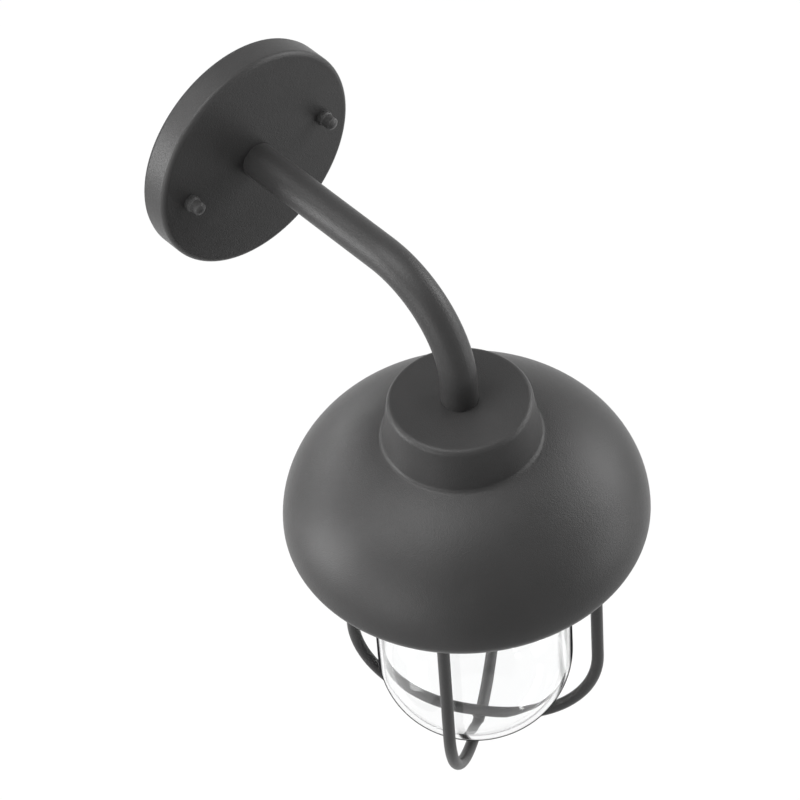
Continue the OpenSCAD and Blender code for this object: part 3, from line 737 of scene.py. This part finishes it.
def shade_face():
    """Outer face of the shade from the nipple's hole to the rim."""
    face = [(0.0, NIPPLE_HOLE_R)]
    face += corner(NECK_EDGE, NECK_R - NECK_EDGE, NECK_EDGE, -90.0, 0.0, 8)
    meeting = Vector((dome_depth(NECK_FOOT_R), NECK_FOOT_R))
    upward = (Vector((NECK_EDGE, NECK_R)) - meeting).normalized()
    first = meeting + upward * BLEND
    last = Vector((dome_depth(NECK_FOOT_R + BLEND), NECK_FOOT_R + BLEND))
    for i in range(10):
        t = i / 10.0
        spot = first * (1 - t) ** 2 + meeting * 2 * t * (1 - t) + last * t * t
        face.append((spot[0], spot[1]))
    start = math.asin(last[1] / SHADE_R)
    for i in range(37):
        a = start + (math.pi / 2.0 - start) * i / 36.0
        face.append((DOME_MID - DOME_RISE * math.cos(a), SHADE_R * math.sin(a)))
    for i in range(1, 7):
        t = i / 6.0
        tuck = (SHADE_R - RIM_R) * t * t
        face.append((DOME_MID + (RIM_DEPTH - DOME_MID) * t, SHADE_R - tuck))
    return face


outer = [Vector(point) for point in shade_face()]
inner = []
for i, point in enumerate(outer):
    along = (outer[min(i + 1, len(outer) - 1)] - outer[max(i - 1, 0)]).normalized()
    inner.append(point + Vector((along[1], -along[0])) * SHEET)
middle = (outer[-1] + inner[-1]) / 2.0
across = (outer[-1] - inner[-1]) / 2.0
ahead = (outer[-1] - outer[-2]).normalized() * across.length
edge = []
for i in range(9):
    a = math.pi * i / 8.0
    edge.append(middle - ahead + across * math.cos(a) + ahead * math.sin(a))
profile = [tuple(point) for point in outer[:-1] + edge + inner[-2::-1]]
shade = turned("shade_spun", AXIS_TOP, DOWN, profile, 160, ends="bridge")
place_in_mesh(shade)
settle(shade, "powder_coat", "lamp", "shade")

# %% [markdown]
# **Fitter.** It is cast, so every corner has a radius, and its cup has a coarse groove
# inside for the jar's thread. The holes for the guard's screws, for the lampholder's
# screws and for the air are drilled last.

# %% Fitter
FITTER_TOP = 44.0
FLANGE_TOP = 60.0
FLANGE_END = 64.0
FITTER_RIM = 68.0
CUP_R = 43.55
CUP_OUTER_R = 48.05
GROOVE_DEPTH = 0.9
FLANGE_R = 78.5
SCREW_TURN = math.radians(261.0)
NIPPLE_ROOM_R = 6.55
VENTS = 8
VENT_R = 5.0
VENT_RING_R = 63.275
FLANGE_SCREW_R = 2.05
HOLDER_SCREW_R = 1.8
HOLDER_SCREW_X = 17.0
profile = [(FITTER_TOP, NIPPLE_ROOM_R)]
profile += corner(FITTER_TOP + 1.5, CUP_OUTER_R - 1.5, 1.5, -90.0, 0.0)
profile += [(FLANGE_TOP - 2.0, CUP_OUTER_R), (FLANGE_TOP - 1.2, CUP_OUTER_R + 0.3)]
profile += [(FLANGE_TOP - 0.4, CUP_OUTER_R + 1.1), (FLANGE_TOP, CUP_OUTER_R + 2.4)]
profile += corner(FLANGE_TOP + 1.0, FLANGE_R - 1.0, 1.0, -90.0, 0.0)
profile += corner(FLANGE_END - 1.0, FLANGE_R - 1.0, 1.0, 0.0, 90.0)
profile += [(FLANGE_END, CUP_OUTER_R + 0.6), (FLANGE_END + 0.5, CUP_OUTER_R)]
profile += corner(FITTER_RIM - 1.2, CUP_OUTER_R - 1.2, 1.2, 0.0, 90.0)
profile += corner(FITTER_RIM - 0.8, CUP_R + 0.8, 0.8, 90.0, 180.0)
profile += rows(FITTER_RIM - 1.2, 48.5, CUP_R, 28)
profile += [(47.0, CUP_R - 1.0), (47.0, NIPPLE_ROOM_R)]
fitter = turned("fitter_cast", AXIS_TOP, DOWN, profile, 96, ends="bridge")
place_in_mesh(fitter)
wind_thread(fitter, AXIS_TOP, DOWN, JAR_PITCH, GROOVE_DEPTH, 50.0, 66.6,
            CUP_R - 0.1, CUP_R + 0.1, 1.5)
for i in range(VENTS):
    vent_turn = SCREW_TURN + math.radians(360.0 / VENTS * (i + 0.5))
    bore(fitter, on_guard(VENT_RING_R, 0.0, 62.0, vent_turn), DOWN, VENT_R, 8.0)
for side in (-1, 1):
    bore(fitter, on_guard(side * GUARD_R, 0.0, 62.0, SCREW_TURN), DOWN, FLANGE_SCREW_R, 8.0)
    floor_spot = AXIS_TOP + Vector((side * HOLDER_SCREW_X, 0.0, -45.5)) * MM
    bore(fitter, floor_spot, DOWN, HOLDER_SCREW_R, 8.0)
settle(fitter, "cast_aluminium", "lamp", "fitter", smooth=35.0)

# %% [markdown]
# **Guard ring and its screws.** The ring is flat stock with broken edges and two holes.
# A screw has a wound thread, a collar and a head whose flutes are pressed into its rim
# and fade at both ends. The front screw is modelled, and the back one is its copy.

# %% Guard ring and its screws
RING_TOP = 64.0
RING_W = 14.0
RING_EDGE = 0.6
RING_HOLE_R = 2.3
ring_in = GUARD_R - RING_W / 2.0
ring_out = GUARD_R + RING_W / 2.0
profile = corner(RING_TOP + RING_EDGE, ring_out - RING_EDGE, RING_EDGE, -90.0, 0.0, 4)
profile += corner(RING_BOTTOM - RING_EDGE, ring_out - RING_EDGE, RING_EDGE, 0.0, 90.0, 4)
profile += corner(RING_BOTTOM - RING_EDGE, ring_in + RING_EDGE, RING_EDGE, 90.0, 180.0, 4)
profile += corner(RING_TOP + RING_EDGE, ring_in + RING_EDGE, RING_EDGE, 180.0, 270.0, 4)
guard_ring = turned("guard_ring_edged", AXIS_TOP, DOWN, profile, 128, ends="bridge")
place_in_mesh(guard_ring)
for side in (-1, 1):
    bore(guard_ring, on_guard(side * GUARD_R, 0.0, 65.0, SCREW_TURN), DOWN, RING_HOLE_R, 8.0)
settle(guard_ring, "powder_coat", "guard", "guard_ring", smooth=35.0)

HEAD_TOP = RING_BOTTOM + 0.8
HEAD_R = 6.0
FLUTES = 20
FLUTE_DEPTH = 0.5
SHANK = 9.5
SHANK_R = 1.75
SCREW_PITCH = 0.7
SCREW_RIDGE = 0.24
front_spot = on_guard(GUARD_R, 0.0, 0.0, SCREW_TURN)
back_spot = on_guard(-GUARD_R, 0.0, 0.0, SCREW_TURN)
profile = [(HEAD_TOP - SHANK, 1.5)]
profile += rows(HEAD_TOP - SHANK + 0.3, HEAD_TOP - 0.4, SHANK_R, 66)
profile += [(HEAD_TOP - 0.3, SHANK_R), (HEAD_TOP, 2.2), (HEAD_TOP, 4.2)]
profile += corner(HEAD_TOP + 0.4, 4.4, 0.4, -90.0, 0.0, 4) + [(HEAD_TOP + 1.4, 4.8)]
profile += corner(HEAD_TOP + 2.1, HEAD_R - 0.6, 0.6, -90.0, 0.0, 5)
profile += rows(HEAD_TOP + 2.3, HEAD_TOP + 7.0, HEAD_R, 6)
profile += corner(HEAD_TOP + 7.2, HEAD_R - 0.8, 0.8, 0.0, 90.0, 5) + [(HEAD_TOP + 8.0, 4.0)]
profile += [(HEAD_TOP + 7.7, 3.5), (HEAD_TOP + 7.7, 0.3)]
front_screw = turned("guard_screw_front_knurled", front_spot, DOWN, profile, FLUTES * 4)
place_in_mesh(front_screw)
wind_thread(front_screw, front_spot, DOWN, SCREW_PITCH, SCREW_RIDGE, HEAD_TOP - SHANK + 0.1,
            HEAD_TOP - 0.5, 1.6, 1.9, 0.4)
flute(front_screw, front_spot, DOWN, FLUTES, FLUTE_DEPTH, HEAD_TOP + 1.6, HEAD_TOP + 7.9, 5.3)
back_screw = copy_of(front_screw, "guard_screw_back_knurled", back_spot - front_spot)
settle(back_screw, "guard_screw_metal", "back_guard_screw", "guard_screw_back", smooth=45.0)
make_active(front_screw)
settle(front_screw, "guard_screw_metal", "front_guard_screw", "guard_screw_front", smooth=45.0)

# %% [markdown]
# **Threaded nipples.** The two hollow rods that clamp arm, plate, shade and fitter have a
# fine thread from end to end, and a turned edge where the leads pass.

# %% Threaded nipples
NIPPLE_R = 6.5
NIPPLE_BORE_R = 4.5
NIPPLE_PITCH = 1.0
NIPPLE_RIDGE = 0.45
for name, foot, heading, stands_for in (
        ("shade_nipple_threaded", AXIS_TOP, DOWN, "shade_nipple"),
        ("plate_nipple_threaded", Vector((0.0, 0.0, 0.0)), OUTWARD, "plate_nipple")):
    own = NODES[stands_for].data.vertices
    reach = [(vertex.co - foot).dot(heading) / MM for vertex in own]
    start, end = min(reach), max(reach)
    turns = int((end - start - 1.0) / NIPPLE_PITCH)
    profile = [(start + 0.3, NIPPLE_BORE_R), (start, NIPPLE_BORE_R + 0.3)]
    profile += [(start, NIPPLE_R - 0.7)]
    profile += rows(start + 0.4, end - 0.4, NIPPLE_R - 0.5, turns * 5)
    profile += [(end, NIPPLE_R - 0.7), (end, NIPPLE_BORE_R + 0.3), (end - 0.3, NIPPLE_BORE_R)]
    nipple = turned(name, foot, heading, profile, 40, ends="bridge")
    place_in_mesh(nipple)
    wind_thread(nipple, foot, heading, NIPPLE_PITCH, NIPPLE_RIDGE, start + 0.1, end - 0.1,
                5.9, 6.1, 0.5)
    settle(nipple, "zinc_steel", "lamp", stands_for, smooth=60.0)

# %% [markdown]
# **Wire connectors.** A moulded cap closes each pair of joined leads. Grip grooves run
# along its skirt, and its tip is rounded. The upper one is modelled, and its copy is
# turned over about the middle of the plate to give the lower one.

# %% Wire connectors
CAP_R = 3.5
CAP_TIP_R = 2.5
CAP_HOLD = 7.0
CAP_LENGTH = 17.0
CAP_BORE_R = 1.25
CAP_TIP_ROUND = 1.0
GRIPS = 12
GRIP_DEPTH = 0.4
cap_foot = Vector((-2.0, -6.0, 7.5)) * MM
profile = [(CAP_HOLD, 0.2), (CAP_HOLD, CAP_BORE_R), (0.3, CAP_BORE_R)]
profile += [(0.0, CAP_BORE_R + 0.3)]
profile += corner(0.3, CAP_R - 0.3, 0.3, -90.0, 0.0, 3)
profile += rows(0.6, CAP_HOLD, CAP_R, 8)
for i in range(1, 9):
    share = i / 8.0
    reach = CAP_HOLD + (CAP_LENGTH - CAP_HOLD - CAP_TIP_ROUND) * share
    profile.append((reach, CAP_R - (CAP_R - CAP_TIP_R) * share))
profile += corner(CAP_LENGTH - CAP_TIP_ROUND, CAP_TIP_R - 1.1, CAP_TIP_ROUND, 10.0, 90.0, 5)
profile += [(CAP_LENGTH, 0.2)]
upper_cap = turned("wire_connector_upper", cap_foot, UP, profile, 60)
place_in_mesh(upper_cap)
flute(upper_cap, cap_foot, UP, GRIPS, GRIP_DEPTH, 0.9, CAP_HOLD + 5.0, CAP_TIP_R, 1.5)
lower_cap = copy_of(upper_cap, "wire_connector_lower", Vector((0.0, 0.0, 0.0)))
bpy.ops.object.mode_set(mode="EDIT")
bpy.ops.mesh.select_all(action="SELECT")
bpy.ops.transform.rotate(value=math.pi, orient_axis="Y", center_override=(0.0, 0.0, 0.0))
bpy.ops.object.mode_set(mode="OBJECT")
settle(lower_cap, "orange_plastic", "lamp", smooth=50.0)
make_active(upper_cap)
settle(upper_cap, "orange_plastic", "lamp", "wire_connectors", smooth=50.0)

# %% [markdown]
# **Lampholder.** Glazed porcelain has no sharp edge: the glaze rounds it to about a
# millimetre. The shell inside is thin brass with a wide rolled thread, open at the bottom
# and with a round hole over the centre contact.

# %% Lampholder and screw shell
HOLDER_TOP = 47.0
HOLDER_END = 92.0
HOLDER_R = 21.5
GLAZE_EDGE = 0.9
WAIST_R = 20.8
CAVITY_R = 14.1
SHELL_TOP = 64.0
SHELL_END = 90.0
profile = [(HOLDER_TOP + 7.0, 0.4), (HOLDER_TOP + 7.0, 12.3)]
profile += [(HOLDER_TOP + 0.3, 12.5), (HOLDER_TOP, 12.8)]
profile += corner(HOLDER_TOP + GLAZE_EDGE, HOLDER_R - GLAZE_EDGE, GLAZE_EDGE, -90.0, 0.0)
profile += [(74.0, HOLDER_R), (75.0, WAIST_R), (79.0, WAIST_R), (80.0, HOLDER_R)]
profile += corner(HOLDER_END - 1.4, HOLDER_R - 1.4, 1.4, 0.0, 90.0, 6)
profile += corner(HOLDER_END - 1.1, CAVITY_R + 1.1, 1.1, 90.0, 180.0, 6)
profile += [(SHELL_TOP, CAVITY_R), (SHELL_TOP, 3.8), (61.9, 3.8), (61.9, 0.4)]
holder = turned("lampholder_glazed", AXIS_TOP, DOWN, profile, 72)
place_in_mesh(holder)
settle(holder, "porcelain", "lamp", "lampholder_body", smooth=50.0)

SHELL_R = 13.78
SHELL_T = 0.45
SHELL_PITCH = 3.6
SHELL_WAVE = -0.7
profile = [(SHELL_TOP + 0.02, 6.05), (SHELL_TOP + 0.02, SHELL_R - 0.8)]
profile += rows(SHELL_TOP + 0.8, SHELL_END, SHELL_R, 44)
profile += rows(SHELL_END, SHELL_TOP + 0.8, SHELL_R - SHELL_T, 44)
profile += [(SHELL_TOP + SHELL_T, SHELL_R - 1.2), (SHELL_TOP + SHELL_T, 6.05)]
shell = turned("screw_shell_rolled", AXIS_TOP, DOWN, profile, 64, ends="bridge")
place_in_mesh(shell)
wind_thread(shell, AXIS_TOP, DOWN, SHELL_PITCH, SHELL_WAVE, SHELL_TOP + 1.0, SHELL_END - 1.0,
            12.9, 14.2, 2.0)
settle(shell, "shell_brass", "lamp", "screw_shell", smooth=70.0)

# %% [markdown]
# The stage is a pale floor well below the light, deep enough for the guard to drop. For
# the camera, and for what glass and gloss see, floor and world are white, as in the
# photograph. Part of the floor stays an ordinary surface, so it keeps a faint shadow.

# %% Floor and world
FLOOR_Z = -0.72
FLOOR_SIZE = 30.0
FLOOR_GLOW = 0.95
FILL_STRENGTH = 0.15
bpy.ops.mesh.primitive_plane_add(size=FLOOR_SIZE, location=(0.0, 0.0, FLOOR_Z))
floor = bpy.context.object
floor.name = "studio_floor"


def seen_directly(tree):
    """Is 1 for camera, glossy and transmission rays."""
    path = add_node(tree, "ShaderNodeLightPath")
    first = add_node(tree, "ShaderNodeMath", operation="MAXIMUM")
    wire(tree, path.outputs["Is Camera Ray"], first.inputs[0])
    wire(tree, path.outputs["Is Glossy Ray"], first.inputs[1])
    second = add_node(tree, "ShaderNodeMath", operation="MAXIMUM")
    wire(tree, first.outputs[0], second.inputs[0])
    wire(tree, path.outputs["Is Transmission Ray"], second.inputs[1])
    return second.outputs[0]


material, tree, shader = new_material("pale_floor")
shader.inputs["Roughness"].default_value = 0.9
shader.inputs["Specular IOR Level"].default_value = 0.0
mottle = remap(tree, noise(tree, object_space(tree), 6.0), 0.3, 0.7, 0.0, 1.0)
wire(tree, blend_colours(tree, mottle, (0.80, 0.80, 0.80), (0.84, 0.84, 0.84)),
     shader.inputs["Base Color"])
glow = add_node(tree, "ShaderNodeEmission", Strength=1.0)
share = add_node(tree, "ShaderNodeMath", operation="MULTIPLY")
share.inputs[1].default_value = FLOOR_GLOW
wire(tree, seen_directly(tree), share.inputs[0])
mixed = add_node(tree, "ShaderNodeMixShader")
wire(tree, share.outputs[0], mixed.inputs[0])
wire(tree, shader.outputs[0], mixed.inputs[1])
wire(tree, glow.outputs[0], mixed.inputs[2])
wire(tree, mixed.outputs[0], tree.nodes["Material Output"].inputs["Surface"])
floor.data.materials.append(material)

world = bpy.data.worlds.new("studio_world")
bpy.context.scene.world = world
world.use_nodes = True
tree = world.node_tree
sky = tree.nodes["Background"]
sky.inputs["Color"].default_value = (1.0, 1.0, 1.0, 1.0)
strength = remap(tree, seen_directly(tree), 0.0, 1.0, FILL_STRENGTH, 1.0)
wire(tree, strength, sky.inputs["Strength"])
print("stage ready, floor at", FLOOR_Z)

# %% [markdown]
# The photograph's light is broad and soft. Panels about two metres away give it. One hangs
# overhead and one high on the left. Two lower ones on the left light the sides of plate and
# neck, a long low strip behind brightens the back edges, and two stand on the right for the
# second sheen on the dome.

# %% Lights
AIM = Vector((0.0, -0.12, -0.10))


def soft_panel(name, place, width, height, watts):
    """A rectangular area light, turned towards the middle of the wall light."""
    bpy.ops.object.light_add(type="AREA", location=place)
    lamp = bpy.context.object
    lamp.name = name
    lamp.rotation_euler = (AIM - Vector(place)).to_track_quat("-Z", "Y").to_euler()
    lamp.data.shape = "RECTANGLE"
    lamp.data.size = width
    lamp.data.size_y = height
    lamp.data.energy = watts


soft_panel("high_left_panel", (-0.88, 0.23, 1.66), 1.2, 1.2, 33.0)
soft_panel("overhead_panel", (0.0, -0.12, 1.90), 1.2, 1.2, 9.5)
soft_panel("left_panel", (-1.52, 1.10, 0.10), 0.8, 1.2, 33.0)
soft_panel("left_front_panel", (-1.98, -0.32, 0.05), 1.1, 1.3, 17.0)
soft_panel("back_strip", (-0.15, 1.80, 0.45), 1.6, 0.35, 17.0)
soft_panel("high_right_panel", (1.81, -0.61, 0.60), 1.2, 1.2, 29.0)
soft_panel("right_panel", (1.49, -1.45, -0.21), 1.2, 1.2, 14.0)
